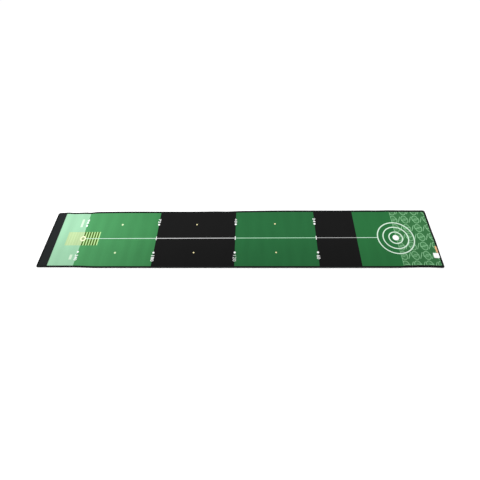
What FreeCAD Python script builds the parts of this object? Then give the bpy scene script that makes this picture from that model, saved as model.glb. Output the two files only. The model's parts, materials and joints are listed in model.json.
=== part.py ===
import FreeCAD, Part
import math
import os
import Sketcher

# Practice putting mat, 3 m by 0.5 m, in millimetres.
# The origin is on the floor under the middle of the mat. +X runs towards the target end,
# +Y towards the far long side and +Z up.
# From the floor up the mat is a rubber backing, a felt interlining and a printed pile fabric.
# A folded tape binds all four sides, a fabric band covers the start end, and two labels are
# held by the binding at the target end and lift about the edge where they are sewn in.

SIZES = [
    ("mat_length", 3000.0, "outside length over the binding"),
    ("mat_width", 500.0, "outside width over the binding"),
    ("corner_radius", 15.0, "outside radius of the binding at the corners"),
    ("backing_thickness", 1.7, "rubber backing"),
    ("interlining_thickness", 0.8, "felt interlining"),
    ("pile_thickness", 1.5, "printed pile fabric, ground and pile together"),
    ("tape_thickness", 0.6, "binding tape, one layer"),
    ("tape_leg", 14.0, "width of the tape on the top and on the underside"),
    ("seam_inset", 11.5, "distance of the binding seam from the outside edge"),
    ("thread_width", 0.8, "sewing thread, pressed flat"),
    ("thread_height", 0.2, "sewing thread, pressed flat"),
    ("groove_width", 1.0, "groove that a lower thread lies in"),
    ("groove_depth", 0.3, "groove that a lower thread lies in"),
    ("band_end", 78.0, "distance of the start band's inner edge from the start end"),
    ("band_thickness", 0.8, "start band fabric"),
    ("band_seam_inset", 4.0, "distance of the band's seam from its inner edge"),
    ("thread_end_gap", 1.0, "distance of the band's threads from the binding"),
    ("label_thickness", 0.25, "woven labels"),
    ("label_corner", 1.0, "corner radius of the labels"),
    ("label_recess", 0.4, "depth that the labels press into the pile and the tape"),
    ("label_drop", 0.1, "depth of a label's upper face below the pile"),
    ("label_margin", 0.1, "gap round a label in its recess"),
    ("care_label_length", 38.0, "along the mat"),
    ("care_label_width", 40.0, "across the mat"),
    ("care_label_place", -153.0, "middle of the care label across the mat"),
    ("side_tag_length", 11.0, "along the mat"),
    ("side_tag_width", 55.0, "across the mat"),
    ("side_tag_place", -103.5, "middle of the side tag across the mat"),
]

INTERLINING_BOTTOM = "Sizes.backing_thickness"
PILE_BOTTOM = "Sizes.backing_thickness + Sizes.interlining_thickness"
MAT_TOP = f"{PILE_BOTTOM} + Sizes.pile_thickness"
TAPE_CHANNEL_TOP = f"{MAT_TOP} - Sizes.tape_thickness"
THREAD_INNER_EDGE = "Sizes.mat_length / 2 - Sizes.seam_inset - Sizes.thread_width / 2"
LABEL_ROOT = f"{THREAD_INNER_EDGE} - Sizes.label_margin"


def make_sheet(document):
    """Spreadsheet with one row for each driving dimension."""
    sheet = document.addObject("Spreadsheet::Sheet", "Sizes")
    for row, (alias, size, meaning) in enumerate(SIZES, start=1):
        sheet.set(f"A{row}", alias)
        sheet.set(f"B{row}", str(size))
        sheet.set(f"C{row}", meaning)
        sheet.setAlias(f"B{row}", alias)
    document.recompute()
    return sheet


def rectangle(length, width, radius, centre_x="0", centre_y="0"):
    """Expressions for one rounded rectangle, seen from above."""
    return {
        "length": length,
        "width": width,
        "radius": radius,
        "centre_x": centre_x,
        "centre_y": centre_y,
    }


def mat_outline(inset):
    """The mat's outside line moved inwards by the inset."""
    return rectangle(
        f"Sizes.mat_length - 2 * ({inset})",
        f"Sizes.mat_width - 2 * ({inset})",
        f"Sizes.corner_radius - ({inset})",
    )


def seam_outlines(strip_width):
    """Both sides of a strip that is centred on the binding seam."""
    outer = mat_outline(f"Sizes.seam_inset - {strip_width} / 2")
    inner = mat_outline(f"Sizes.seam_inset + {strip_width} / 2")
    return [outer, inner]


def band_outline():
    """The start band, which fills the mat inside the binding as far as band_end."""
    return rectangle(
        "Sizes.band_end - Sizes.tape_leg",
        "Sizes.mat_width - 2 * Sizes.tape_leg",
        "Sizes.corner_radius - Sizes.tape_leg",
        "(Sizes.tape_leg + Sizes.band_end - Sizes.mat_length) / 2",
    )


def band_seam_outline(strip_width, end_gap):
    """A straight strip centred on the seam along the start band's inner edge."""
    return rectangle(
        strip_width,
        f"Sizes.mat_width - 2 * (Sizes.tape_leg + {end_gap})",
        f"{strip_width} * 0.4",
        "Sizes.band_end - Sizes.band_seam_inset - Sizes.mat_length / 2",
    )


def label_outline(name, margin="0"):
    """One label, its sewn edge beside the binding seam, with a margin all round."""
    return rectangle(
        f"Sizes.{name}_length + 2 * ({margin})",
        f"Sizes.{name}_width + 2 * ({margin})",
        "Sizes.label_corner",
        f"{LABEL_ROOT} - Sizes.{name}_length / 2",
        f"Sizes.{name}_place",
    )


def origin_plane(body, role):
    """The body's own origin plane that has this role."""
    for feature in body.Origin.OriginFeatures:
        if feature.Role == role:
            return feature
    raise RuntimeError(f"{body.Label} has no {role}")


def new_sketch(body, name, height):
    """Sketch parallel to the floor at the given height."""
    sketch = body.newObject("Sketcher::SketchObject", name)
    sketch.AttachmentSupport = [(origin_plane(body, "XY_Plane"), "")]
    sketch.MapMode = "FlatFace"
    sketch.setExpression(".AttachmentOffset.Base.z", height)
    return sketch


def outline_geometry(half_length, half_width, radius, centre):
    """Sides and corner arcs of a rounded rectangle, anticlockwise from the lower side."""
    across = FreeCAD.Vector(1, 0, 0)
    along = FreeCAD.Vector(0, 1, 0)
    sides = []
    arcs = []
    directions = [(across, along), (along, -across), (-across, -along), (-along, across)]
    for index, (forward, left) in enumerate(directions):
        run = half_length if index % 2 == 0 else half_width
        offset = half_width if index % 2 == 0 else half_length
        start = centre - left * offset - forward * (run - radius)
        end = centre - left * offset + forward * (run - radius)
        sides.append(Part.LineSegment(start, end))
        circle = Part.Circle(end + left * radius, FreeCAD.Vector(0, 0, 1), radius)
        first_angle = (index - 1) * math.pi / 2
        arcs.append(Part.ArcOfCircle(circle, first_angle, first_angle + math.pi / 2))
    return sides, arcs


def tie_outline(sketch, sides, arcs, middle):
    """Joins the sides and arcs into one rounded rectangle about its middle point."""
    for index in range(4):
        following = (index + 1) % 4
        sketch.addConstraint(Sketcher.Constraint("Tangent", sides[index], 2, arcs[index], 1))
        sketch.addConstraint(Sketcher.Constraint("Tangent", arcs[index], 2, sides[following], 1))
    for index in (1, 2, 3):
        sketch.addConstraint(Sketcher.Constraint("Equal", arcs[0], arcs[index]))
    sketch.addConstraint(Sketcher.Constraint("Horizontal", sides[0]))
    sketch.addConstraint(Sketcher.Constraint("Vertical", sides[1]))
    sketch.addConstraint(Sketcher.Constraint("Symmetric", arcs[1], 3, arcs[3], 3, middle, 1))


def bind_constraint(sketch, constraint, name, expression):
    """Adds a named dimension to a sketch and binds it to the sheet."""
    index = sketch.addConstraint(constraint)
    sketch.renameConstraint(index, name)
    sketch.setExpression(f"Constraints.{name}", expression)


def add_outline(sketch, sheet, shape, label):
    """Draws one rounded rectangle whose sizes and place are bound to the sheet."""
    numbers = {key: float(sheet.evalExpression(text)) for key, text in shape.items()}
    centre = FreeCAD.Vector(numbers["centre_x"], numbers["centre_y"], 0)
    half_length = numbers["length"] / 2
    half_width = numbers["width"] / 2
    side_shapes, arc_shapes = outline_geometry(half_length, half_width, numbers["radius"], centre)
    sides = list(sketch.addGeometry(side_shapes, False))
    arcs = list(sketch.addGeometry(arc_shapes, False))
    middle = sketch.addGeometry(Part.Point(centre), True)
    tie_outline(sketch, sides, arcs, middle)
    lower, right, upper, left = sides
    long_way = Sketcher.Constraint("DistanceX", left, 1, right, 1, numbers["length"])
    wide_way = Sketcher.Constraint("DistanceY", lower, 1, upper, 1, numbers["width"])
    round_off = Sketcher.Constraint("Radius", arcs[0], numbers["radius"])
    bind_constraint(sketch, long_way, f"{label}_length", shape["length"])
    bind_constraint(sketch, wide_way, f"{label}_width", shape["width"])
    bind_constraint(sketch, round_off, f"{label}_radius", shape["radius"])
    place_x = Sketcher.Constraint("DistanceX", -1, 1, middle, 1, centre.x)
    place_y = Sketcher.Constraint("DistanceY", -1, 1, middle, 1, centre.y)
    bind_constraint(sketch, place_x, f"{label}_centre_x", shape["centre_x"])
    bind_constraint(sketch, place_y, f"{label}_centre_y", shape["centre_y"])


def outline_sketch(body, sheet, name, shapes, height):
    """Sketch of one rounded rectangle, or of two, one inside the other."""
    sketch = new_sketch(body, name, height)
    for shape, label in zip(shapes, ("outer", "inner")):
        add_outline(sketch, sheet, shape, label)
    return sketch


def add_plate(document, sheet, name, shapes, bottom, thickness):
    """New body: a flat piece of even thickness, or a flat frame when there are two shapes."""
    body = document.addObject("PartDesign::Body", name)
    body.Label = name
    body.Placement = FreeCAD.Placement()
    pad = body.newObject("PartDesign::Pad", f"{name}_plate")
    pad.Profile = outline_sketch(body, sheet, f"{name}_outline", shapes, bottom)
    pad.setExpression("Length", thickness)
    document.recompute()
    return body


def cut_down(document, sheet, body, name, shapes, top, depth):
    """Cuts a flat recess from the given height downwards, and checks that it took material away."""
    volume_before = body.Shape.Volume
    pocket = body.newObject("PartDesign::Pocket", name)
    pocket.Profile = outline_sketch(body, sheet, f"{name}_outline", shapes, top)
    pocket.setExpression("Length", depth)
    document.recompute()
    if body.Shape.Volume >= volume_before:
        raise RuntimeError(f"{name} cut nothing from {body.Label}")


def make_backing(document, sheet):
    """Rubber backing: its underside is the floor face, stepped up where the tape wraps under it."""
    core = mat_outline("Sizes.tape_thickness")
    inside = mat_outline("Sizes.tape_leg")
    body = add_plate(document, sheet, "non_slip_backing", [core], "0", "Sizes.backing_thickness")
    step = "Sizes.tape_thickness"
    cut_down(document, sheet, body, "tape_step", [core, inside], step, step)
    groove = [band_seam_outline("Sizes.groove_width", "0")]
    depth = "Sizes.groove_depth"
    cut_down(document, sheet, body, "band_thread_groove", groove, depth, depth)


def press_labels(document, sheet, body):
    """Cuts the recesses that the labels lie in."""
    for label in ("care_label", "side_tag"):
        name = f"{label}_recess_in_{body.Label}"
        pressed = [label_outline(label, "Sizes.label_margin")]
        cut_down(document, sheet, body, name, pressed, MAT_TOP, "Sizes.label_recess")


def make_interlining(document, sheet):
    """Felt between the backing and the pile fabric."""
    core = mat_outline("Sizes.tape_thickness")
    thickness = "Sizes.interlining_thickness"
    add_plate(document, sheet, "felt_interlining", [core], INTERLINING_BOTTOM, thickness)


def make_pile_face(document, sheet):
    """Printed pile fabric, pressed down under the tape, the start band and the labels."""
    core = mat_outline("Sizes.tape_thickness")
    inside = mat_outline("Sizes.tape_leg")
    body = add_plate(document, sheet, "printed_pile_face", [core], PILE_BOTTOM, "Sizes.pile_thickness")
    cut_down(document, sheet, body, "tape_rebate", [core, inside], MAT_TOP, "Sizes.tape_thickness")
    cut_down(document, sheet, body, "band_rebate", [band_outline()], MAT_TOP, "Sizes.band_thickness")
    press_labels(document, sheet, body)


def make_binding(document, sheet):
    """Tape folded over all four sides, with a groove underneath and thin where the labels lap on it."""
    outside = mat_outline("0")
    inside = mat_outline("Sizes.tape_leg")
    core = mat_outline("Sizes.tape_thickness")
    body = add_plate(document, sheet, "edge_binding", [outside, inside], "0", MAT_TOP)
    channel = f"{TAPE_CHANNEL_TOP} - Sizes.tape_thickness"
    cut_down(document, sheet, body, "laminate_channel", [core], TAPE_CHANNEL_TOP, channel)
    groove = seam_outlines("Sizes.groove_width")
    depth = "Sizes.groove_depth"
    cut_down(document, sheet, body, "binding_thread_groove", groove, depth, depth)
    press_labels(document, sheet, body)


def make_binding_threads(document, sheet):
    """Lockstitch round the binding: one thread on top, one in the groove underneath."""
    strip = seam_outlines("Sizes.thread_width")
    height = "Sizes.thread_height"
    add_plate(document, sheet, "binding_needle_thread", strip, MAT_TOP, height)
    lower = "Sizes.groove_depth - Sizes.thread_height"
    add_plate(document, sheet, "binding_bobbin_thread", strip, lower, height)


def make_start_band(document, sheet):
    """Fabric band on the start end with its own lockstitch along the inner edge."""
    bottom = f"{MAT_TOP} - Sizes.band_thickness"
    add_plate(document, sheet, "start_end_band", [band_outline()], bottom, "Sizes.band_thickness")
    strip = [band_seam_outline("Sizes.thread_width", "Sizes.thread_end_gap")]
    height = "Sizes.thread_height"
    add_plate(document, sheet, "start_band_needle_thread", strip, MAT_TOP, height)
    lower = "Sizes.groove_depth - Sizes.thread_height"
    add_plate(document, sheet, "start_band_bobbin_thread", strip, lower, height)


def make_labels(document, sheet):
    """Two labels that lie on the pile and lap over the inner part of the target end's tape."""
    bottom = f"{MAT_TOP} - Sizes.label_drop - Sizes.label_thickness"
    for label in ("care_label", "side_tag"):
        shape = [label_outline(label)]
        add_plate(document, sheet, label, shape, bottom, "Sizes.label_thickness")


def check_document(document):
    """Stops if any object failed, or if any body has no sound solid."""
    for item in document.Objects:
        if "Invalid" in item.State or "Error" in item.State:
            raise RuntimeError(f"{item.Label} failed: {item.State}")
    for body in document.findObjects("PartDesign::Body"):
        if body.Shape.isNull() or not body.Shape.isValid() or len(body.Shape.Solids) != 1:
            raise RuntimeError(f"{body.Label} isn't one sound solid")


def write_parts(document):
    """Writes each body to its own file."""
    os.makedirs("parts", exist_ok=True)
    for body in document.findObjects("PartDesign::Body"):
        body.Shape.exportStep(f"parts/{body.Label}.step")
        box = body.Shape.BoundBox
        heights = f"z {box.ZMin:.2f} to {box.ZMax:.2f}"
        print(f"{body.Label}: {box.XLength:.1f} x {box.YLength:.1f}, {heights}, {body.Shape.Volume:.0f} mm3")


def main():
    document = FreeCAD.newDocument("putting_mat")
    sheet = make_sheet(document)
    make_backing(document, sheet)
    make_interlining(document, sheet)
    make_pile_face(document, sheet)
    make_binding(document, sheet)
    make_binding_threads(document, sheet)
    make_start_band(document, sheet)
    make_labels(document, sheet)
    document.recompute()
    check_document(document)
    write_parts(document)


main()
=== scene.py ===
import json
import math

import bpy
import numpy as np
from mathutils import Matrix, Vector
from mathutils.geometry import delaunay_2d_cdt


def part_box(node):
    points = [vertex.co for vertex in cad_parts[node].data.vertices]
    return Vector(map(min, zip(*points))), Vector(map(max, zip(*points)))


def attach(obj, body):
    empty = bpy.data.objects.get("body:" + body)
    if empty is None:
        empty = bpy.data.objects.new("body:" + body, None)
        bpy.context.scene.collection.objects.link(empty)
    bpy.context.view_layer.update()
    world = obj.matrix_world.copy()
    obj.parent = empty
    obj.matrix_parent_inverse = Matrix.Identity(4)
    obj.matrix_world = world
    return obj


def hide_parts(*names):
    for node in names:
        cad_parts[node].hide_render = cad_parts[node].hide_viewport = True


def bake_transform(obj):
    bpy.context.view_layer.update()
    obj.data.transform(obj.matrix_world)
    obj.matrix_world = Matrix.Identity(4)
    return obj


# Practice putting mat, in metres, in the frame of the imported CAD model: +X runs towards the
# target end, +Y towards the far long side and +Z up from the floor.

MM = 0.001

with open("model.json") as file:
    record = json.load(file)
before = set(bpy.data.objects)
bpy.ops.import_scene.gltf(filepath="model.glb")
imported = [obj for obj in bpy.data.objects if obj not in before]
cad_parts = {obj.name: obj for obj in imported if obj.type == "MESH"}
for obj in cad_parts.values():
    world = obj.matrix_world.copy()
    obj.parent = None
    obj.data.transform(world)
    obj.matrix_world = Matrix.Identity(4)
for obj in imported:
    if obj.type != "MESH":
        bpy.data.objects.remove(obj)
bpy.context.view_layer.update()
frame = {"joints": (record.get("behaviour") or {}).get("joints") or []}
_, mat_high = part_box("edge_binding")
pile_low, pile_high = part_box("printed_pile_face")
felt_low, felt_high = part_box("felt_interlining")
band_low, band_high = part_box("start_end_band")
label_low, label_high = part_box("care_label")
tag_low, tag_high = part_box("side_tag")
hinge = Vector(frame["joints"][0]["pos_m"])

# ---------------------------------------------------------------- sizes

HALF_LENGTH = mat_high.x
HALF_WIDTH = mat_high.y
TOP = pile_high.z
CORNER_RADIUS = 15 * MM
TAPE_LEG = HALF_WIDTH - band_high.y
TAPE_THICKNESS = 0.6 * MM
SEAM_INSET = 11.5 * MM
STITCH = 4 * MM
THREAD_RADIUS = 0.25 * MM
SEAM_LINE = HALF_LENGTH - SEAM_INSET
LABEL_THICKNESS = 0.25 * MM
LABEL_ROOT = SEAM_LINE + 0.9 * MM
LAYER_GAP = 0.02 * MM

# How layers meet at the tape: the pile is pressed down beneath it and rises again past its inner
# edge (where that starts, and its run), and the backing steps up over the part that wraps under.
TAPE_PRESS = 0.06 * MM
PILE_RISE = (-0.4 * MM, 3.0 * MM)
BACKING_STEP = (0.2 * MM, 1.0 * MM)
BACKING_STEP_EDGE = 0.8 * MM
BACKING_GAP = 0.1 * MM

# The start band: its seam, how its rim tucks under the tape, and how its upper face curves.
BAND_SEAM_INSET = 4 * MM
BAND_THICKNESS = 0.55 * MM
BAND_TUCK = 0.3 * MM
BAND_RISE = (-0.4 * MM, 2.5 * MM)
BAND_ROUNDING = 1.4 * MM
BAND_RIM_DROP = 0.35 * MM
BAND_SWELL = 0.5 * MM
BAND_SEAM_DIP = 0.18 * MM
BAND_SEAM_REACH = 0.9 * MM

# Threads: heights of the lower ones, how far a stitch dives at its hole and stands up between holes
# as shares of the thread's radius, and how the upper one climbs over a label.
BINDING_BOBBIN_HEIGHT = 0.4 * MM
BAND_BOBBIN_HEIGHT = 0.55 * MM
STITCH_DIVE = -0.9
STITCH_STAND = 0.55
THREAD_CLIMB = 1.0 * MM
THREAD_CLEARANCE = 0.08 * MM

# Labels: height over the pile, rise over the tape, dip at the seam, and how the free edge lifts:
# where along the label that sets in, its run, and how much more it lifts at one side.
LABEL_GAP = 0.06 * MM
LABEL_RISE = 0.18 * MM
LABEL_RISE_RUN = 2.0 * MM
LABEL_SEAM_DIP = 0.12 * MM
LABEL_SEAM_REACH = 0.5 * MM
LABEL_CURL = (0.35, 0.65)
LABEL_CURL_TILT = 0.35

# How the cloth lies: it narrows a little towards the target end, its ends are slightly out of
# square, its far side has a low ripple and bows outwards, its near corners are drawn in, and the
# middle of its target end bulges.
TAPER = 0.0088
SKEW = (0.005, 0.0035, 0.003)
SKEW_PIVOT = -0.126
RIPPLE_HEIGHT = 3.0 * MM
RIPPLE_SWAY = 3.0 * MM
RIPPLE_LENGTH = 1.28
RIPPLE_PEAK = 0.33
FAR_BOW = 5.5 * MM
NEAR_DRAW_AT_START = 5.5 * MM
NEAR_DRAW_AT_TARGET = 4.0 * MM
START_REACH = 5.0 * MM
TARGET_BULGE = 2.2 * MM
TARGET_BULGE_MIDDLE = -0.03
TARGET_BULGE_REACH = 0.06
BAND_LEAN = 5.4 * MM

# Small dents in the far edge: place along the mat, reach and depth, where minus is a bulge.
FAR_DENTS = [
    (-1.42, 0.040, -4.2 * MM),
    (-1.22, 0.035, 4.3 * MM),
    (-0.06, 0.060, 3.0 * MM),
    (1.14, 0.060, 2.2 * MM),
]

# Where each of these sets in: the place where it starts to grow, and the run over which it does.
RIPPLE_FROM_MIDDLE = (-0.05, HALF_WIDTH + 0.05)
RIPPLE_FROM_END = (0.0, 0.25)
BOW_FROM_MIDDLE = (0.215, 0.035)
BOW_FROM_END = (0.12, 0.25)
DENTS_FROM_MIDDLE = (0.15, 0.1)
DRAW_FROM_MIDDLE = (0.17, 0.07)
DRAW_TOWARDS_START = (1.02, 0.2)
DRAW_TOWARDS_TARGET = (1.15, 0.2)
DRAW_FROM_TARGET_END = (0.0, 0.12)
REACH_TOWARDS_START = (1.40, 0.1)
BULGE_TOWARDS_TARGET = (1.35, 0.12)

# Places of the print, measured from the middle of the mat.
BAND_EDGE = band_high.x
MINT_EDGE = -1.2153
MARK_EDGES = [-0.614, 0.010, 0.630]
LAST_EDGE = 0.933
TARGET_EDGE = 1.2225
TARGET = Vector((1.2205, -0.002))
START = Vector((-1.2105, 0.0))
YELLOW_MARKS = [
    (-0.916, "pale_yellow", 8.2 * MM),
    (-0.303, "yellow", 6.0 * MM),
    (0.321, "yellow", 6.2 * MM),
]
NEAR_DOTS = -0.125
FAR_DOTS = 0.126
WHITE_DOT = 8.0 * MM
CENTRE_LINE = 4.7 * MM
CROSSING_LENGTH = 32 * MM
CROSSING_WIDTH = 5.0 * MM
RING_WIDTH = 8.2 * MM
RING_RADII = [0.0538, 0.0973, 0.1383]
TARGET_DOT = 23 * MM
START_RING = 23.5 * MM
START_RING_WIDTH = 11 * MM
RING_SQUEEZE = 0.98
TARGET_MARGIN = 3.5 * MM

# Numerals: the distances to the target in centimetres on the near side and in inches on the far side.
NEAR_NUMERALS = ["240", "180", "120", "60"]
FAR_NUMERALS = ["96", "72", "48", "24"]
NUMERAL_WEIGHTS = [0.02, 0.015, -0.012, 0.008]
NEAR_NUMERALS_INNER = -0.147
NEAR_NUMERALS_OUTER = {2: -0.180, 3: -0.197}
FAR_NUMERALS_INNER = 0.141
FAR_NUMERALS_OUTER = 0.181
NEAR_NUMERAL_HEIGHT = 24 * MM
FAR_NUMERAL_HEIGHT = 19 * MM
FIRST_MARK_INWARD = 8 * MM

# Pale bars beside the start circle: lowest and highest place along the mat, then across it.
START_BARS = [
    (-1.268, -1.250, 0.106, 0.181),
    (-1.269, -1.248, -0.181, -0.140),
]

# Alignment hatch about the start circle.
HATCH_HALF_WIDTH = 0.060
HATCH_START = -1.3445
HATCH_LAST_LINE = -1.0835
HATCH_LINES = 12
HATCH_PITCH = 22.1 * MM
HATCH_LINE = 9.0 * MM

# Pattern over the target end: rows of swirls, each of two facing hooks.
SWIRL_FIRST = np.array([1.2415, 0.0045])
SWIRL_COLUMNS = 4
SWIRL_ROWS_EACH_SIDE = 3
SWIRL_COLUMN_PITCH = 82.5 * MM
SWIRL_ROW_PITCH = 78.2 * MM
SWIRL_RADIUS = 31 * MM
SWIRL_SQUEEZE = 0.72
SWIRL_LINE = 4.8 * MM
HOOK_DEGREES = 205
HOOK_OFFSET = np.array([-2.5 * MM, 2.5 * MM])
HOOK_BAR_START = np.array([18 * MM, 3 * MM])
HOOK_BAR_END = np.array([-7 * MM, 7 * MM])
BETWEEN_OFFSET = np.array([5 * MM, 12 * MM])
BETWEEN_REACH = np.array([8 * MM, 15 * MM])
PATTERN_EDGE_LINE = 3 * MM

# Grip studs under the backing.
STUD_PITCH = 20 * MM
STUD_BASE = 3.2 * MM
STUD_TIP = 2.5 * MM
STUD_HEIGHT = 0.6 * MM
STUD_SIDES = 10
STUD_ROWS = range(-11, 12)
STUD_COLUMNS = range(-74, 74)

# Meshes.
CORE_INSET = 1.0 * MM
OUTLINE_STEP = 20 * MM
PILE_GRID = 30 * MM
HIDDEN_GRID = 60 * MM
GRID_INSET = 20 * MM
SMALLEST_PATCH = 1e-9

# ---------------------------------------------------------------- dyes

# How bright the lamp and the white surroundings make white cloth.
STUDIO_LIGHT = 1.2


def dyed(red, green, blue):
    """Reflectance of cloth that looks this colour, as 0 to 255 screen values, in the studio light."""
    shades = []
    for value in (red, green, blue):
        share = value / 255
        low = share / 12.92
        high = ((share + 0.055) / 1.055) ** 2.4
        shades.append((low if share <= 0.04045 else high) / STUDIO_LIGHT)
    return tuple(shades)


DYES = {
    "mint": dyed(164, 217, 179),
    "lawn": dyed(81, 158, 99),
    # The lawn's colour at the first mark: painted shade, a darker copy of the lawn for light that falls off
    # along the mat.
    "lawn_shaded_end": dyed(63, 135, 80),
    "black": dyed(24, 24, 24),
    "deep_green": dyed(42, 107, 61),
    "last_green": dyed(45, 116, 64),
    "target_green": dyed(61, 122, 72),
    "motif_fill": dyed(77, 138, 87),
    "motif_green": dyed(143, 203, 151),
    "white": (0.93, 0.94, 0.93),
    "ring_white": dyed(232, 255, 236),
    "line_on_lawn": dyed(218, 248, 230),
    "line_on_deep_green": dyed(194, 246, 210),
    "line_on_black": dyed(232, 232, 232),
    "dim_line_on_black": dyed(186, 186, 186),
    "bar_white": dyed(222, 248, 220),
    "yellow": dyed(250, 238, 182),
    "pale_yellow": dyed(226, 250, 198),
    "hatch_on_mint": dyed(190, 219, 162),
    "hatch_line_on_mint": dyed(199, 225, 171),
    "hatch_on_lawn": dyed(78, 108, 40),
    "hatch_line_on_lawn": dyed(196, 240, 164),
    "cream": dyed(246, 252, 210),
    "ring_middle": dyed(160, 180, 128),
    "raw_cloth": dyed(214, 220, 212),
}

# ---------------------------------------------------------------- shared shape of the mat


def smooth(share):
    """Eases from 0 to 1 as share goes from 0 to 1."""
    share = np.clip(share, 0.0, 1.0)
    return share * share * (3 - 2 * share)


def ramp(values, start, run):
    """Eases from 0 to 1 as the values go from start to start + run."""
    return smooth((values - start) / run)


def hump(values, middle, reach):
    """1 at the middle, fading to nothing over a couple of reaches on each side."""
    return np.exp(-(((values - middle) / reach) ** 2))


def shift_along(x, y):
    """How far each place lies towards the target end of where it would in a true rectangle."""
    skew = SKEW[0] + SKEW[1] * x + SKEW[2] * x * x
    start_reach = START_REACH * ramp(-x, *REACH_TOWARDS_START)
    bulge = hump(y, TARGET_BULGE_MIDDLE, TARGET_BULGE_REACH) * ramp(x, *BULGE_TOWARDS_TARGET)
    return skew * (y - SKEW_PIVOT) - start_reach + TARGET_BULGE * bulge


def shift_across(x, y):
    """How far each place lies towards the far side of where it would, apart from taper and ripple."""
    from_end = HALF_LENGTH - np.abs(x)
    bow = FAR_BOW * ramp(y, *BOW_FROM_MIDDLE) * ramp(from_end, *BOW_FROM_END)
    dents = sum(depth * hump(x, place, reach) for place, reach, depth in FAR_DENTS)
    at_start = NEAR_DRAW_AT_START * ramp(-x, *DRAW_TOWARDS_START)
    at_target = NEAR_DRAW_AT_TARGET * ramp(x, *DRAW_TOWARDS_TARGET)
    at_target *= ramp(HALF_LENGTH - x, *DRAW_FROM_TARGET_END)
    drawn_in = ramp(-y, *DRAW_FROM_MIDDLE) * (at_start + at_target)
    return bow + drawn_in - dents * ramp(y, *DENTS_FROM_MIDDLE)


def settle(points):
    """Points of the flat mat, moved to where the mat really lies."""
    x, y, z = np.array(points, float).reshape(-1, 3).T
    from_end = HALF_LENGTH - np.abs(x)
    rippled = ramp(y, *RIPPLE_FROM_MIDDLE) * ramp(from_end, *RIPPLE_FROM_END)
    wave = 0.5 + 0.5 * np.cos(2 * math.pi * (x - RIPPLE_PEAK) / RIPPLE_LENGTH)
    sway = RIPPLE_SWAY * rippled * (wave - 0.5)
    moved_x = x + shift_along(x, y)
    moved_y = y * (1 - TAPER * x) + sway + shift_across(x, y)
    moved_z = z + RIPPLE_HEIGHT * rippled * wave
    return np.column_stack([moved_x, moved_y, moved_z])


def perimeter(inset, step):
    """Evenly spaced stations round the mat at this inset, anticlockwise: points and normals."""
    corner = max(CORNER_RADIUS, inset)
    radius = corner - inset
    run_x = 2 * (HALF_LENGTH - corner)
    run_y = 2 * (HALF_WIDTH - corner)
    arc = radius * math.pi / 2
    total = 2 * (run_x + run_y) + 4 * arc
    count = 4 * round(total / step / 4)
    points = np.zeros((count, 2))
    normals = np.zeros((count, 2))
    for station in range(count):
        left = total * station / count
        for side in range(4):
            run = run_x if side % 2 == 0 else run_y
            angle = (side - 1) * math.pi / 2
            outward = np.array([math.cos(angle), math.sin(angle)])
            forward = np.array([-outward[1], outward[0]])
            reach = (HALF_WIDTH if side % 2 == 0 else HALF_LENGTH) - inset
            start = outward * reach - forward * run / 2
            if left <= run:
                points[station] = start + forward * left
                normals[station] = outward
                break
            left -= run
            if left <= arc:
                turn = angle + left / radius
                normal = np.array([math.cos(turn), math.sin(turn)])
                points[station] = start + forward * run - outward * radius + normal * radius
                normals[station] = normal
                break
            left -= arc
    return points, normals


def edge_distance(points):
    """How far inside the mat's outside line each point is."""
    reach = np.array([HALF_LENGTH - CORNER_RADIUS, HALF_WIDTH - CORNER_RADIUS])
    over = np.abs(points[:, :2]) - reach
    outside = np.linalg.norm(np.maximum(over, 0), axis=1)
    inside = np.minimum(over.max(axis=1), 0)
    return CORNER_RADIUS - outside - inside


# ---------------------------------------------------------------- mesh helpers

# What delaunay_2d_cdt is told: give only what lies inside the faces, and join points this close.
INSIDE_ONLY = 1
WELD_DISTANCE = 1e-7


def make_object(name, points, faces, material):
    """Smooth mesh object, settled on the floor like the rest of the mat."""
    mesh = bpy.data.meshes.new(name)
    mesh.from_pydata([tuple(p) for p in settle(points)], [], faces)
    mesh.validate()
    mesh.polygons.foreach_set("use_smooth", [True] * len(mesh.polygons))
    mesh.materials.append(material)
    mesh.update()
    obj = bpy.data.objects.new(name, mesh)
    bpy.context.scene.collection.objects.link(obj)
    return obj


def signed_area(outline):
    """Area inside an outline, negative where it runs clockwise."""
    xs, ys = np.array([p[:2] for p in outline]).T
    return float((xs * np.roll(ys, -1) - np.roll(xs, -1) * ys).sum()) / 2


def triangulate(outline, patches=(), loops=(), loose=()):
    """Fills the outline with triangles that are cut along the patches and the loops.

    Gives the points, the triangles and, for each triangle, the number of the last patch on it.
    """
    points = [Vector(p[:2]) for p in outline]
    faces = [list(range(len(points)))]
    edges = []
    for patch in patches:
        faces.append(list(range(len(points), len(points) + len(patch))))
        points.extend(Vector(p[:2]) for p in patch)
    for loop in loops:
        first = len(points)
        count = len(loop)
        points.extend(Vector(p[:2]) for p in loop)
        edges.extend((first + i, first + (i + 1) % count) for i in range(count))
    points.extend(Vector(p[:2]) for p in loose)
    result = delaunay_2d_cdt(points, edges, faces, INSIDE_ONLY, WELD_DISTANCE, True)
    cut_points, _, cut_faces, _, _, covering = result
    inside = [i for i, covers in enumerate(covering) if 0 in covers]
    triangles = np.array([cut_faces[i] for i in inside])
    tops = np.array([max(covering[i]) for i in inside])
    used, compact = np.unique(triangles, return_inverse=True)
    kept = np.array([cut_points[i] for i in used])
    return kept, compact.reshape(triangles.shape), tops


def rim(triangles):
    """Directed edges that only one triangle uses."""
    directed = set()
    for first, second, third in triangles.tolist():
        directed.update([(first, second), (second, third), (third, first)])
    return [(a, b) for a, b in directed if (b, a) not in directed]


def level(height):
    """Height of a flat face, as a function of its points."""
    return lambda points: np.full(len(points), height)


def place_key(point):
    """A point's place, rounded so that two meshes can be matched on it."""
    return tuple(np.round(point / WELD_DISTANCE).astype(int))


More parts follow.
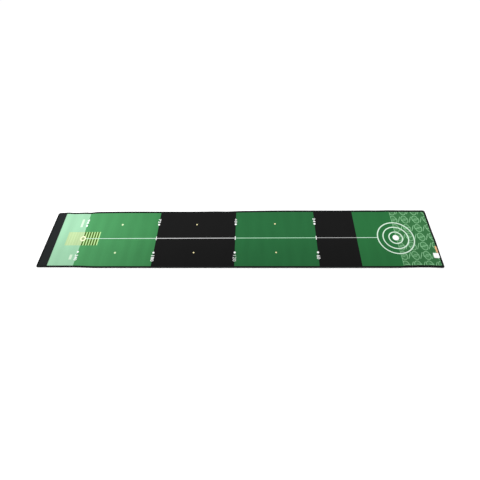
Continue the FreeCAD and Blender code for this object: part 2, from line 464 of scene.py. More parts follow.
def slab(name, upper, lower, top_height, bottom_height, material):
    """Closed flat piece between two triangulations that share one outline."""
    upper_points, upper_triangles, _ = upper
    lower_points, lower_triangles, _ = lower
    shift = len(upper_points)
    tops = np.column_stack([upper_points, top_height(upper_points)])
    bottoms = np.column_stack([lower_points, bottom_height(lower_points)])
    faces = [tuple(triangle) for triangle in upper_triangles.tolist()]
    faces += [tuple(reversed(triangle)) for triangle in (lower_triangles + shift).tolist()]
    below = {place_key(point): i + shift for i, point in enumerate(lower_points)}
    for a, b in rim(upper_triangles):
        faces.append((b, a, below[place_key(upper_points[a])], below[place_key(upper_points[b])]))
    return make_object(name, np.vstack([tops, bottoms]), faces, material)


def sweep(name, rings, closed, material):
    """Skin over rings of points, capped at both ends if it isn't closed."""
    count, sides = rings.shape[:2]
    faces = []
    for i in range(count if closed else count - 1):
        here = i * sides
        following = (i + 1) % count * sides
        for k in range(sides):
            across = (k + 1) % sides
            faces.append((here + k, following + k, following + across, here + across))
    if not closed:
        faces.append(tuple(range(sides)))
        faces.append(tuple(reversed(range((count - 1) * sides, count * sides))))
    return make_object(name, rings.reshape(-1, 3), faces, material)


# ---------------------------------------------------------------- materials

# Weaves: threads per metre, depth of the weave, roughness and specular level.
TAPE_WEAVE = (900, 0.15 * MM, 0.85, 0.06)
BAND_WEAVE = (1100, 0.1 * MM, 0.8, 0.08)
SATIN_WEAVE = (2200, 0.05 * MM, 0.45, 0.25)


class Recipe:
    """A material's node tree with short calls for the nodes that the fabrics here share."""

    def __init__(self, name):
        self.material = bpy.data.materials.new(name)
        self.material.use_nodes = True
        self.tree = self.material.node_tree
        self.shader = self.tree.nodes["Principled BSDF"]
        self.place = self.tree.nodes.new("ShaderNodeTexCoord").outputs["Object"]

    def link(self, source, target):
        self.tree.links.new(source, target)

    def scaled(self, scale):
        node = self.tree.nodes.new("ShaderNodeMapping")
        node.inputs["Scale"].default_value = scale
        self.link(self.place, node.inputs["Vector"])
        return node.outputs["Vector"]

    def noise(self, scale, detail=2.0, roughness=0.5):
        node = self.tree.nodes.new("ShaderNodeTexNoise")
        node.inputs["Scale"].default_value = 1.0
        node.inputs["Detail"].default_value = detail
        node.inputs["Roughness"].default_value = roughness
        self.link(self.scaled(scale), node.inputs["Vector"])
        return node.outputs["Fac"]

    def wave(self, axis, per_metre, phase=0.0):
        node = self.tree.nodes.new("ShaderNodeTexWave")
        node.bands_direction = axis
        node.wave_profile = "SIN"
        node.inputs["Scale"].default_value = per_metre * math.pi / 10
        node.inputs["Distortion"].default_value = 0.0
        node.inputs["Phase Offset"].default_value = phase
        self.link(self.place, node.inputs["Vector"])
        return node.outputs["Fac"]

    def math(self, operation, first, second):
        node = self.tree.nodes.new("ShaderNodeMath")
        node.operation = operation
        for socket, value in zip(node.inputs, (first, second)):
            if isinstance(value, (int, float)):
                socket.default_value = value
            else:
                self.link(value, socket)
        return node.outputs["Value"]

    def spread(self, value, low, high):
        """A 0 to 1 value, mapped to the range from low to high."""
        node = self.tree.nodes.new("ShaderNodeMapRange")
        node.inputs["To Min"].default_value = low
        node.inputs["To Max"].default_value = high
        self.link(value, node.inputs["Value"])
        return node.outputs["Result"]

    def paint(self, colour, factor):
        """Colours the shader with this colour, brighter or darker by the factor."""
        node = self.tree.nodes.new("ShaderNodeVectorMath")
        node.operation = "SCALE"
        if isinstance(colour, tuple):
            node.inputs[0].default_value = colour
        else:
            self.link(colour, node.inputs[0])
        self.link(factor, node.inputs["Scale"])
        self.link(node.outputs["Vector"], self.shader.inputs["Base Color"])

    def bump(self, height, distance, strength=1.0):
        node = self.tree.nodes.new("ShaderNodeBump")
        node.inputs["Distance"].default_value = distance
        node.inputs["Strength"].default_value = strength
        self.link(height, node.inputs["Height"])
        self.link(node.outputs["Normal"], self.shader.inputs["Normal"])

    def finish(self, roughness, sheen=0.0, specular=0.5):
        self.shader.inputs["Roughness"].default_value = roughness
        self.shader.inputs["Sheen Weight"].default_value = sheen
        self.shader.inputs["Sheen Roughness"].default_value = 0.5
        self.shader.inputs["Specular IOR Level"].default_value = specular
        return self.material


def pile_material():
    """Short dense pile: the dyed print with brushed patches, stripes, fibre grain and painted shade across
    it.
    """
    stripe_length = 0.104
    painted_shade_period = 0.56
    recipe = Recipe("printed_pile")
    # The dye attribute holds the print's colours, with painted shade on the lawn.
    dye = recipe.tree.nodes.new("ShaderNodeAttribute")
    dye.attribute_name = "dye"
    channels = recipe.tree.nodes.new("ShaderNodeSeparateXYZ")
    recipe.link(dye.outputs["Vector"], channels.inputs["Vector"])
    paleness = recipe.math("MINIMUM", channels.outputs["Y"], 0.25)
    sway = recipe.spread(recipe.wave("X", 1 / stripe_length), -0.13, 0.13)
    stripes = recipe.math("ADD", recipe.math("MULTIPLY", paleness, sway), 1.0)
    patches = recipe.spread(recipe.noise((22.0, 5.0, 1.0), detail=3.0), 0.92, 1.08)
    # Painted shade: the pile darkens towards the near side and slightly at the far side, standing in for
    # uneven light.
    painted_shade = recipe.spread(recipe.wave("Y", 1 / painted_shade_period, phase=2.19), 0.94, 1.06)
    fibres = recipe.spread(recipe.noise((700.0, 700.0, 700.0), detail=3.0), 0.8, 1.2)
    factor = recipe.math("MULTIPLY", recipe.math("MULTIPLY", stripes, patches), fibres)
    recipe.paint(dye.outputs["Color"], recipe.math("MULTIPLY", factor, painted_shade))
    tufts = recipe.noise((650.0, 650.0, 650.0), detail=3.0, roughness=0.6)
    recipe.bump(tufts, 0.35 * MM, strength=0.5)
    return recipe.finish(0.95, sheen=0.02, specular=0.05)


def woven_material(name, colour, threads_per_metre, depth, roughness, specular):
    """Woven fabric: two crossed sets of threads with slow shade changes."""
    recipe = Recipe(name)
    warp = recipe.wave("X", threads_per_metre)
    weft = recipe.wave("Y", threads_per_metre)
    weave = recipe.math("MAXIMUM", warp, weft)
    slow = recipe.spread(recipe.noise((35.0, 35.0, 35.0)), 0.86, 1.14)
    fine = recipe.spread(weave, 0.82, 1.1)
    recipe.paint(colour, recipe.math("MULTIPLY", slow, fine))
    recipe.bump(weave, depth, strength=0.6)
    return recipe.finish(roughness, specular=specular)


def rubber_material():
    """Matt moulded rubber with a fine skin grain."""
    recipe = Recipe("backing_rubber")
    slow = recipe.spread(recipe.noise((18.0, 18.0, 18.0), detail=3.0), 0.85, 1.15)
    recipe.paint(dyed(43, 43, 44), slow)
    recipe.bump(recipe.noise((1400.0, 1400.0, 1400.0)), 0.05 * MM, strength=0.5)
    return recipe.finish(0.62, specular=0.4)


def felt_material():
    """Grey needled felt: tangled fibres with darker specks."""
    recipe = Recipe("grey_felt")
    fibres = recipe.noise((420.0, 420.0, 900.0), detail=4.0, roughness=0.65)
    recipe.paint(dyed(92, 92, 92), recipe.spread(fibres, 0.7, 1.3))
    recipe.bump(fibres, 0.3 * MM, strength=0.7)
    return recipe.finish(0.97, sheen=0.1, specular=0.1)


def thread_material(name, colour):
    """Twisted polyester thread."""
    recipe = Recipe(name)
    twist = recipe.noise((2600.0, 2600.0, 2600.0))
    recipe.paint(colour, recipe.spread(twist, 0.75, 1.25))
    recipe.bump(twist, 0.05 * MM, strength=0.6)
    return recipe.finish(0.5, sheen=0.1, specular=0.4)


# ---------------------------------------------------------------- the print


def box_patch(low_x, high_x, low_y, high_y):
    return [(low_x, low_y), (high_x, low_y), (high_x, high_y), (low_x, high_y)]


def zone(low_x, high_x):
    """A patch across the whole width of the mat."""
    return box_patch(low_x, high_x, -HALF_WIDTH, HALF_WIDTH)


def disc(centre, radius, sides=32):
    angles = [2 * math.pi * i / sides for i in range(sides)]
    return [(centre[0] + radius * math.cos(a), centre[1] + radius * math.sin(a)) for a in angles]


def ribbon(path, width):
    """Patches that follow a path of points as a line of even width."""
    path = np.array(path)
    ahead = np.gradient(path, axis=0)
    ahead /= np.linalg.norm(ahead, axis=1)[:, None]
    side = np.column_stack([-ahead[:, 1], ahead[:, 0]]) * width / 2
    left = path + side
    right = path - side
    return [[right[i], right[i + 1], left[i + 1], left[i]] for i in range(len(path) - 1)]


def arc_path(centre, radius, start_degrees, end_degrees, steps, squeeze=1.0):
    """Points along an arc, narrowed along the mat by the squeeze."""
    angles = np.radians(np.linspace(start_degrees, end_degrees, steps + 1))
    along = centre[0] + squeeze * radius * np.cos(angles)
    across = centre[1] + radius * np.sin(angles)
    return np.column_stack([along, across])


def ring(centre, outer_radius, width, steps, squeeze=1.0):
    """Patches of one whole ring."""
    inner = arc_path(centre, outer_radius - width, 0, 360, steps, squeeze)
    outer = arc_path(centre, outer_radius, 0, 360, steps, squeeze)
    turns = [(i, (i + 1) % steps) for i in range(steps)]
    return [[inner[i], outer[i], outer[following], inner[following]] for i, following in turns]


def numeral(text, weight, x, near_y, far_y, height):
    """Patches of a number that reads from the start end and fills the stretch from near_y to far_y."""
    curve = bpy.data.curves.new("numeral", "FONT")
    curve.body = text
    curve.resolution_u = 4
    curve.offset = weight
    holder = bpy.data.objects.new("numeral", curve)
    mesh = bpy.data.meshes.new_from_object(holder)
    corners = np.array([v.co[:2] for v in mesh.vertices])
    low, high = corners.min(axis=0), corners.max(axis=0)
    share = (corners - low) / (high - low)
    along = x + height * (share[:, 1] - 0.5)
    across = far_y - (far_y - near_y) * share[:, 0]
    placed = np.column_stack([along, across])
    patches = [placed[list(polygon.vertices)] for polygon in mesh.polygons]
    patches = [patch for patch in patches if signed_area(patch) > SMALLEST_PATCH]
    bpy.data.objects.remove(holder)
    bpy.data.curves.remove(curve)
    bpy.data.meshes.remove(mesh)
    return patches


def sound(prints):
    """The prints without the patches that are folded over or have no area."""
    return [(dye, patch) for dye, patch in prints if signed_area(patch) > SMALLEST_PATCH]


def zone_patches():
    """Grounds across the whole mat, and the pattern over the target end beneath them."""
    edges = [-HALF_LENGTH, MINT_EDGE] + MARK_EDGES + [LAST_EDGE, TARGET_EDGE]
    dyes = ["mint", "lawn", "black", "deep_green", "black", "last_green"]
    prints = [("target_green", zone(TARGET_EDGE, HALF_LENGTH))]
    prints += pattern_patches()
    prints += [(dye, zone(low, high)) for dye, low, high in zip(dyes, edges, edges[1:])]
    return prints


def swirl_strokes(centre):
    """Centre lines of one swirl's two facing hooks and of the two strokes beyond it."""
    strokes = []
    for side in (1, -1):
        turn = 90 - 90 * side
        back = centre + side * HOOK_OFFSET
        strokes.append(arc_path(back, SWIRL_RADIUS, turn, turn + HOOK_DEGREES, 16, SWIRL_SQUEEZE))
        strokes.append(np.linspace(centre + side * HOOK_BAR_START, centre + side * HOOK_BAR_END, 4))
        between = centre + np.array([SWIRL_COLUMN_PITCH / 2, 0.0]) + side * BETWEEN_OFFSET
        strokes.append(np.linspace(between - BETWEEN_REACH, between + BETWEEN_REACH, 5))
    return strokes


def pattern_patches():
    """Rows of plain swirls over the target end, with a pale line and two black margins."""
    prints = []
    for column in range(SWIRL_COLUMNS):
        for row in range(-SWIRL_ROWS_EACH_SIDE, SWIRL_ROWS_EACH_SIDE + 1):
            centre = SWIRL_FIRST + np.array([column * SWIRL_COLUMN_PITCH, row * SWIRL_ROW_PITCH])
            oval = arc_path(centre, SWIRL_RADIUS, 0, 360, 20, SWIRL_SQUEEZE)[:-1]
            prints.append(("motif_fill", oval))
            for stroke in swirl_strokes(centre):
                prints += [("motif_green", patch) for patch in ribbon(stroke, SWIRL_LINE)]
    margin = HALF_WIDTH - TAPE_LEG - TARGET_MARGIN
    prints.append(("motif_green", zone(TARGET_EDGE, TARGET_EDGE + PATTERN_EDGE_LINE)))
    prints.append(("black", box_patch(TARGET_EDGE, HALF_LENGTH, margin, HALF_WIDTH)))
    prints.append(("black", box_patch(TARGET_EDGE, HALF_LENGTH, -HALF_WIDTH, -margin)))
    return sound(prints)


def hatch_patches():
    """Yellow alignment hatch about the start circle, paler where it lies on the mint."""
    half = HATCH_HALF_WIDTH
    prints = [("hatch_on_mint", box_patch(HATCH_START, MINT_EDGE, -half, half))]
    prints.append(("hatch_on_lawn", box_patch(MINT_EDGE, HATCH_LAST_LINE, -half, half)))
    for index in range(HATCH_LINES):
        middle = HATCH_LAST_LINE - index * HATCH_PITCH
        dye = "hatch_line_on_mint" if middle < MINT_EDGE else "hatch_line_on_lawn"
        prints.append((dye, box_patch(middle - HATCH_LINE / 2, middle + HATCH_LINE / 2, -half, half)))
    return prints


def centre_line_patches():
    """The thin white line from the start circle to the target, tinted by the ground that it crosses."""
    line_end = TARGET.x - RING_RADII[-1] + RING_WIDTH / 2
    ends = [START.x] + MARK_EDGES + [LAST_EDGE, line_end]
    dyes = ["line_on_lawn", "line_on_black", "line_on_deep_green", "dim_line_on_black", "line_on_lawn"]
    half = CENTRE_LINE / 2
    prints = [(dye, box_patch(low, high, -half, half)) for dye, low, high in zip(dyes, ends, ends[1:])]
    for x in MARK_EDGES:
        low, high = x - CROSSING_WIDTH / 2, x + CROSSING_WIDTH / 2
        prints.append(("white", box_patch(low, high, -CROSSING_LENGTH / 2, CROSSING_LENGTH / 2)))
    return prints


def circle_patches():
    """The target's rings and dot, and the start circle."""
    prints = []
    for radius in RING_RADII:
        target_ring = ring(TARGET, radius, RING_WIDTH, 96, RING_SQUEEZE)
        prints += [("ring_white", patch) for patch in target_ring]
    prints.append(("white", disc(TARGET, TARGET_DOT, 48)))
    prints.append(("ring_middle", disc(START, START_RING - 2 * MM, 32)))
    prints += [("cream", patch) for patch in ring(START, START_RING, START_RING_WIDTH, 48)]
    return prints


def mark_patches(index, x):
    """One mark's dots and numerals. The first mark's lie a little nearer the middle."""
    inward = FIRST_MARK_INWARD if index == 0 else 0.0
    near_text, far_text = NEAR_NUMERALS[index], FAR_NUMERALS[index]
    weight = NUMERAL_WEIGHTS[index]
    near_low = NEAR_NUMERALS_OUTER[len(near_text)] + inward
    near_high = NEAR_NUMERALS_INNER + inward
    near = numeral(near_text, weight, x, near_low, near_high, NEAR_NUMERAL_HEIGHT)
    far_low = FAR_NUMERALS_INNER - inward
    far = numeral(far_text, weight, x, far_low, FAR_NUMERALS_OUTER, FAR_NUMERAL_HEIGHT)
    dots = [disc((x, NEAR_DOTS + inward), WHITE_DOT), disc((x, FAR_DOTS - inward), WHITE_DOT)]
    return [("white", patch) for patch in dots + near + far]


def print_patches():
    """Every printed patch with its dye, lowest first."""
    prints = zone_patches()
    prints += [("bar_white", box_patch(*bar)) for bar in START_BARS]
    prints += hatch_patches()
    prints += centre_line_patches()
    prints += circle_patches()
    for index, x in enumerate([MINT_EDGE] + MARK_EDGES):
        prints += mark_patches(index, x)
    for x, dye, radius in YELLOW_MARKS:
        prints.append((dye, disc((x, NEAR_DOTS), radius)))
        prints.append((dye, disc((x, FAR_DOTS), radius)))
    return prints


# ---------------------------------------------------------------- the layers


def grid_points(step):
    """Loose points inside the mat that let a flat layer follow the ripple."""
    half_x = HALF_LENGTH - GRID_INSET
    half_y = HALF_WIDTH - GRID_INSET
    xs = np.linspace(-half_x, half_x, round(2 * HALF_LENGTH / step))
    ys = np.linspace(-half_y, half_y, round(2 * HALF_WIDTH / step))
    return [(x, y) for x in xs for y in ys]


def pile_height(points):
    """Pile surface: pressed down under the tape and rising again over the first few millimetres."""
    inside = edge_distance(points) - TAPE_LEG
    pressed = TOP - TAPE_THICKNESS - TAPE_PRESS
    return pressed + (TOP - pressed) * ramp(inside, *PILE_RISE)


def face_dyes_and_shade(dye_names, cut):
    """One colour for each triangle of the print. The lawn darkens evenly towards the first mark, which is
    painted shade.
    """
    points, triangles, tops = cut
    shades = []
    for triangle, top in zip(triangles, tops):
        shade = np.array(DYES[dye_names[top]])
        # Painted shade: the lawn's colour is blended towards a darker copy along the mat.
        if dye_names[top] == "lawn":
            share = (points[triangle, 0].mean() - MINT_EDGE) / (MARK_EDGES[0] - MINT_EDGE)
            shade += (np.array(DYES["lawn_shaded_end"]) - shade) * share
        shades.append(shade)
    return shades


def make_pile_face(material):
    """Printed pile fabric: its face is cut along every edge of the print, and each cut is dyed, the lawn
    with painted shade as well.
    """
    prints = print_patches()
    outline = perimeter(CORE_INSET, OUTLINE_STEP)[0]
    past_tape = [-0.5 * MM, 0.5 * MM, 1.5 * MM, 3.0 * MM]
    loops = [perimeter(TAPE_LEG + past, OUTLINE_STEP)[0] for past in past_tape]
    cut = triangulate(outline, [patch for _, patch in prints], loops, grid_points(PILE_GRID))
    obj = slab("printed_pile_cloth", cut, cut, pile_height, level(pile_low.z + LAYER_GAP), material)
    face = face_dyes_and_shade(["mint"] + [dye for dye, _ in prints], cut)
    shades = np.tile(DYES["raw_cloth"], (len(obj.data.polygons), 1))
    shades[:len(face)] = face
    # The dye attribute also carries the lawn's painted shade.
    dye = obj.data.attributes.new("dye", "FLOAT_VECTOR", "FACE")
    dye.data.foreach_set("vector", shades.ravel())
    return obj


def make_felt(material):
    """Felt sheet between the backing and the pile fabric."""
    cut = triangulate(perimeter(CORE_INSET, OUTLINE_STEP)[0], loose=grid_points(HIDDEN_GRID))
    upper = level(felt_high.z - LAYER_GAP)
    lower = level(felt_low.z + LAYER_GAP)
    return slab("felt_sheet", cut, cut, upper, lower, material)


def stud_shift(row):
    """How far a row of grip studs is moved along the mat. Every other row is half a pitch over."""
    return np.where(row % 2, STUD_PITCH / 2, 0.0) + STUD_PITCH / 4


def stud_rings():
    """Base and tip outlines of the round grip studs under the backing."""
    rings = []
    for row in STUD_ROWS:
        for column in STUD_COLUMNS:
            centre = (column * STUD_PITCH + stud_shift(row), row * STUD_PITCH)
            rings.append(disc(centre, STUD_BASE, STUD_SIDES))
            rings.append(disc(centre, STUD_TIP, STUD_SIDES))
    return rings


def backing_underside(points):
    """Underside of the backing: stud tips on the floor, the web between them, and the step for the tape."""
    row = np.round(points[:, 1] / STUD_PITCH)
    along = points[:, 0] - stud_shift(row)
    along -= np.round(along / STUD_PITCH) * STUD_PITCH
    radius = np.hypot(along, points[:, 1] - row * STUD_PITCH)
    studded = np.where(radius < (STUD_TIP + STUD_BASE) / 2, 0.0, STUD_HEIGHT)
    past_tape = edge_distance(points) > TAPE_LEG + BACKING_STEP_EDGE
    return np.where(past_tape, studded, TAPE_THICKNESS + BACKING_GAP)


def make_backing(material):
    """Rubber sheet whose round studs stand on the floor; it steps up where the tape wraps under it."""
    outline = perimeter(CORE_INSET, OUTLINE_STEP)[0]
    upper = triangulate(outline, loose=grid_points(HIDDEN_GRID))
    loops = [perimeter(TAPE_LEG + past, OUTLINE_STEP)[0] for past in BACKING_STEP]
    lower = triangulate(outline, loops=loops + stud_rings())
    top = level(felt_low.z - LAYER_GAP)
    return slab("rubber_backing", upper, lower, top, backing_underside, material)


# ---------------------------------------------------------------- binding and seams


# Outline of the folded tape's section, in millimetres: inset from the mat's edge, height, and how far
# a stitch draws it down as a share of STITCH_PULL.
STITCH_PULL = 0.22
TAPE_UPPER_SIDE = [
    (14.0, 3.62, 0.0), (13.8, 4.02, 0.0), (13.2, 4.16, 0.1), (12.2, 4.12, 0.5), (11.5, 4.0, 1.0),
    (10.8, 4.12, 0.5), (8.6, 4.26, 0.1), (3.2, 4.22, 0.0), (1.3, 3.95, 0.0), (0.35, 3.2, 0.0),
    (0.0, 2.1, 0.0),
]
TAPE_UNDERSIDE = [
    (0.3, 0.85, 0.0), (1.2, 0.12, 0.0), (3.0, 0.0, 0.0), (10.8, 0.0, 0.0), (11.5, 0.25, -0.3),
    (12.2, 0.0, 0.0), (13.7, 0.02, 0.0), (14.0, 0.35, 0.0),
]
TAPE_INSIDE = [
    (13.6, 0.62, 0.0), (2.2, 0.62, 0.0), (0.75, 1.4, 0.0), (0.75, 2.7, 0.0), (2.2, 3.4, 0.0),
    (13.5, 3.4, 0.0),
]


def make_binding(material):
    """Tape folded round the edge, drawn in at every stitch."""
    points, normals = perimeter(SEAM_INSET, STITCH / 2)
    inset, height, pull = np.array(TAPE_UPPER_SIDE + TAPE_UNDERSIDE + TAPE_INSIDE).T
    at_hole = (np.arange(len(points)) % 2 == 0).astype(float)
    across = SEAM_INSET - inset * MM
    rings = np.zeros((len(points), len(inset), 3))
    rings[:, :, 0] = points[:, :1] + normals[:, :1] * across
    rings[:, :, 1] = points[:, 1:] + normals[:, 1:] * across
    rings[:, :, 2] = height * MM - pull * STITCH_PULL * MM * at_hole[:, None]
    return sweep("binding_tape", rings, True, material)


def thread_rings(path, sideways, surface, upward):
    """Tube round a thread that lies on the surface and dives into the cloth at every fourth point."""
    sides = 6
    at_hole = np.arange(len(path)) % 4 == 0
    lift = np.where(at_hole, STITCH_DIVE, STITCH_STAND) * THREAD_RADIUS
    rings = np.zeros((len(path), sides, 3))
    for k in range(sides):
        angle = 2 * math.pi * k / sides
        rings[:, k, :2] = path + sideways * THREAD_RADIUS * math.cos(angle)
        rings[:, k, 2] = surface + upward * lift + THREAD_RADIUS * math.sin(angle)
    return rings


def over_labels(points):
    """How far the labels lift the upper thread at these points of the seam."""
    rise = np.zeros(len(points))
    for low, high in ((label_low, label_high), (tag_low, tag_high)):
        inward = np.minimum(points[:, 1] - low.y, high.y - points[:, 1])
        rise = np.maximum(rise, ramp(inward, -THREAD_CLIMB, THREAD_CLIMB))
    return np.where(points[:, 0] > 0, rise * (LABEL_THICKNESS + THREAD_CLEARANCE), 0.0)


def make_binding_needle_thread(material):
    """Upper thread of the binding seam, over the tape and the labels."""
    points, normals = perimeter(SEAM_INSET, STITCH / 4)
    surface = TOP + LAYER_GAP + over_labels(points)
    rings = thread_rings(points, normals, surface, 1)
    return sweep("binding_needle_stitches", rings, True, material)


def make_binding_bobbin_thread(material):
    """Lower thread of the binding seam, in the dip that it makes under the tape."""
    points, normals = perimeter(SEAM_INSET, STITCH / 4)
    rings = thread_rings(points, normals, BINDING_BOBBIN_HEIGHT, -1)
    return sweep("binding_bobbin_stitches", rings, True, material)


def band_edge(ys):
    """Inner edge of the start band, which leans towards the target at the near side."""
    return BAND_EDGE - BAND_LEAN * ys / (2 * HALF_WIDTH)


def make_band_thread(name, surface, upward, material):
    """One thread of the seam along the start band's inner edge."""
    half = band_high.y - 1 * MM
    count = 4 * round(2 * half / STITCH)
    ys = np.linspace(-half, half, count + 1)
    path = np.column_stack([band_edge(ys) - BAND_SEAM_INSET, ys])
    sideways = np.tile([1.0, 0.0], (count + 1, 1))
    return sweep(name, thread_rings(path, sideways, surface, upward), False, material)


def band_top(points):
    """Upper face of the start band: rounded at the inner edge, dipped at the seam, low at the tape."""
    to_edge = band_edge(points[:, 1]) - points[:, 0]
    rounded = ramp(to_edge, 0, BAND_ROUNDING) ** 0.5
    past_tape = ramp(edge_distance(points) - TAPE_LEG, *BAND_RISE)
    seam = BAND_SEAM_DIP * hump(to_edge, BAND_SEAM_INSET, BAND_SEAM_REACH)
    return TOP - BAND_RIM_DROP + rounded * BAND_SWELL * past_tape - seam


def band_outline(left, half):
    """Outline of the start band with its two round outer corners, anticlockwise."""
    radius = 5 * MM
    corner_high = arc_path((left + radius, half - radius), radius, 90, 180, 8)
    corner_low = arc_path((left + radius, -half + radius), radius, 180, 270, 8)
    inner_edge = [(band_edge(-half), -half), (band_edge(half), half)]
    return inner_edge[1:] + list(corner_high) + list(corner_low) + inner_edge[:1]


def band_points(left, half):
    """Loose points on the start band, close together where its surface curves."""
    columns = [left + share * MM for share in (1.0, 2.0, 3.0, 5.0)]
    columns += list(np.linspace(left + 10 * MM, BAND_EDGE - 16 * MM, 5))
    from_edge = [share * MM for share in (0.25, 0.7, 1.4, 3.2, 4.0, 4.8, 7.0)]
    rim_lanes = [half - share * MM for share in (1.0, 2.0, 3.0, 5.0)]
    middle_lanes = list(np.linspace(9 * MM - half, half - 9 * MM, 101))
    lanes = rim_lanes + middle_lanes + [-lane for lane in rim_lanes]
    return [(x, y) for y in lanes for x in columns + [band_edge(y) - back for back in from_edge]]


def make_start_band(material):
    """Charcoal fabric band over the start end, its rim tucked a little way under the tape."""
    left = band_low.x - BAND_TUCK
    half = band_high.y + BAND_TUCK
    cut = triangulate(band_outline(left, half), loose=band_points(left, half))
    return slab("start_band_cloth", cut, cut, band_top, level(TOP - BAND_THICKNESS), material)


# ---------------------------------------------------------------- labels


def label_underside(xs):
    """Height of a label's lower face: on the pile, then up over the tape and down into the seam."""
    over_tape = ramp(xs, HALF_LENGTH - TAPE_LEG - LABEL_RISE_RUN, LABEL_RISE_RUN)
    dip = LABEL_SEAM_DIP * hump(xs, SEAM_LINE, LABEL_SEAM_REACH)
    return TOP + LABEL_GAP + LABEL_RISE * over_tape - dip


def label_columns(low):
    """Places along the mat from a label's sewn end to its free edge, close together where it folds."""
    fold = 4.8 * MM
    in_fold = np.linspace(0, fold, 17)
    beyond = np.linspace(fold, LABEL_ROOT - low.x, 20)[1:]
    return LABEL_ROOT - np.concatenate([in_fold, beyond])


def sheet_faces(long, wide):
    """Faces of a closed sheet of long by wide points, its lower points first and then its upper ones."""
    shift = long * wide
    faces = []
    for i in range(long - 1):
        for j in range(wide - 1):
            a = i * wide + j
            b = a + wide
            faces.append((a, b, b + 1, a + 1))
            faces.append((a + shift, a + 1 + shift, b + 1 + shift, b + shift))
    last_row = (long - 1) * wide
    border = [(i * wide, (i + 1) * wide) for i in range(long - 1)]
    border += [(last_row + j, last_row + j + 1) for j in range(wide - 1)]
    border += [((i + 1) * wide + wide - 1, i * wide + wide - 1) for i in range(long - 1)]
    border += [(j + 1, j) for j in range(wide - 1)]
    return faces + [(b, a, a + shift, b + shift) for a, b in border]


def make_label(name, low, high, curl, material):
    """Woven label: its sewn edge laps over the tape at the seam and its free edge lifts a little."""
    xs = label_columns(low)
    ys = np.linspace(low.y, high.y, 17)
    from_hinge = hinge.x - xs
    raised = curl * ramp(from_hinge / from_hinge.max(), *LABEL_CURL)
    lower = np.zeros((len(xs), len(ys), 3))
    for j, y in enumerate(ys):
        across = 2 * (y - low.y) / (high.y - low.y) - 1
        lower[:, j, 0] = xs
        lower[:, j, 1] = y
        lower[:, j, 2] = label_underside(xs) + raised * (1 - LABEL_CURL_TILT * across)
    lower = lower.reshape(-1, 3)
    upper = lower + np.array([0, 0, LABEL_THICKNESS])
    return make_object(name, np.vstack([lower, upper]), sheet_faces(len(xs), len(ys)), material)


# ---------------------------------------------------------------- stage


def make_floor():
    """Wide pale floor just under the mat."""
    reach = 30.0
    depth = -0.3 * MM
    sides = [(-reach, -reach), (reach, -reach), (reach, reach), (-reach, reach)]
    mesh = bpy.data.meshes.new("floor")
    mesh.from_pydata([(x, y, depth) for x, y in sides], [], [(0, 1, 2, 3)])
    floor = bpy.data.objects.new("floor", mesh)
    bpy.context.scene.collection.objects.link(floor)
    material = bpy.data.materials.new("pale_floor")
    material.use_nodes = True
    shader = material.node_tree.nodes["Principled BSDF"]
    shader.inputs["Base Color"].default_value = (0.93, 0.93, 0.93, 1)
    shader.inputs["Roughness"].default_value = 0.9
    shader.inputs["Specular IOR Level"].default_value = 0.1
    shader.inputs["Emission Color"].default_value = (1, 1, 1, 1)
    shader.inputs["Emission Strength"].default_value = 0.25
    mesh.materials.append(material)


def make_world():
    """Even white surroundings."""
    world = bpy.data.worlds.new("studio")
    world.use_nodes = True
    background = world.node_tree.nodes["Background"]
    background.inputs["Color"].default_value = (1, 1, 1, 1)
    background.inputs["Strength"].default_value = 0.84
    bpy.context.scene.world = world


def make_softbox():
    """Long soft lamp over the far side of the mat."""
    lamp = bpy.data.lights.new("softbox", "AREA")
    lamp.shape = "RECTANGLE"
    lamp.size = 4.0
    lamp.size_y = 0.8
    lamp.energy = 36
    softbox = bpy.data.objects.new("softbox", lamp)
    softbox.location = (-0.5, 1.4, 1.0)
    aim = Vector((-0.2, 0.1, 0)) - softbox.location
    softbox.rotation_euler = aim.to_track_quat("-Z", "Y").to_euler()
    bpy.context.scene.collection.objects.link(softbox)


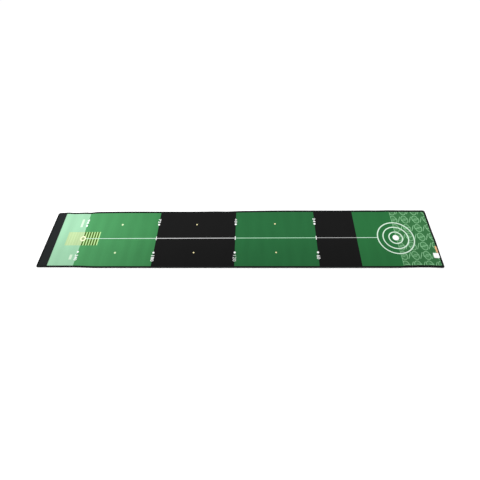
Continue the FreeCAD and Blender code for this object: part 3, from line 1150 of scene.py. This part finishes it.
def make_camera():
    """Camera over the near side, turned a little to the left and rolled a little."""
    azimuth = math.radians(6.025)
    elevation = math.radians(60.96)
    roll = math.radians(-5.469)
    distance = 2.0468
    look_at = Vector((0.04774, -0.01517, 0.0))
    back = Vector((
        math.sin(azimuth) * math.cos(elevation),
        -math.cos(azimuth) * math.cos(elevation),
        math.sin(elevation),
    ))
    right = (-back).cross(Vector((0, 0, 1))).normalized()
    upright = right.cross(-back)
    side = right * math.cos(roll) + upright * math.sin(roll)
    above = upright * math.cos(roll) - right * math.sin(roll)
    lens = bpy.data.cameras.new("camera")
    lens.sensor_width = 36
    lens.lens = 19.815
    camera = bpy.data.objects.new("camera", lens)
    turned = Matrix((side, above, back)).transposed().to_4x4()
    camera.matrix_world = Matrix.Translation(look_at + back * distance) @ turned
    bpy.context.scene.collection.objects.link(camera)
    bpy.context.scene.camera = camera


# ---------------------------------------------------------------- assembly


def stand_for(piece, node):
    """The piece replaces a CAD node of the mat body."""
    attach(piece, "mat")
    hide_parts(node)


def make_mat():
    """Every piece of the mat body. Gives the two that the labels lie on."""
    black_tape = woven_material("black_tape", dyed(23, 25, 25), *TAPE_WEAVE)
    charcoal = woven_material("charcoal_band", dyed(34, 37, 38), *BAND_WEAVE)
    thread = thread_material("black_thread", dyed(36, 37, 37))

    backing = make_backing(rubber_material())
    stand_for(backing, "non_slip_backing")
    felt = make_felt(felt_material())
    stand_for(felt, "felt_interlining")
    pile = make_pile_face(pile_material())
    stand_for(pile, "printed_pile_face")
    tape = make_binding(black_tape)
    stand_for(tape, "edge_binding")
    band = make_start_band(charcoal)
    stand_for(band, "start_end_band")
    stand_for(make_binding_needle_thread(thread), "binding_needle_thread")
    stand_for(make_binding_bobbin_thread(thread), "binding_bobbin_thread")
    band_needle = make_band_thread("band_needle_stitches", TOP, 1, thread)
    stand_for(band_needle, "start_band_needle_thread")
    band_bobbin = make_band_thread("band_bobbin_stitches", BAND_BOBBIN_HEIGHT, -1, thread)
    stand_for(band_bobbin, "start_band_bobbin_thread")

    return pile, tape


def make_labels():
    """The two labels, which lie on the pile and the tape; each is shaped over the tape and into the seam
    beside it.
    """
    white = woven_material("white_satin", (0.99, 0.99, 0.98), *SATIN_WEAVE)
    orange = woven_material("orange_satin", dyed(250, 194, 142), *SATIN_WEAVE)
    care = make_label("care_label_cloth", label_low, label_high, 1.2 * MM, white)
    side = make_label("side_tag_cloth", tag_low, tag_high, 0.8 * MM, orange)
    labels = [
        (care, "care_label", "white_label", label_low, label_high),
        (side, "side_tag", "orange_tag", tag_low, tag_high),
    ]
    for piece, node, slot, low, high in labels:
        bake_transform(piece)
        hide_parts(node)


def build():
    bpy.context.scene.view_settings.view_transform = "Standard"
    make_camera()
    make_world()
    make_softbox()
    make_floor()
    pile, tape = make_mat()
    make_labels()


build()
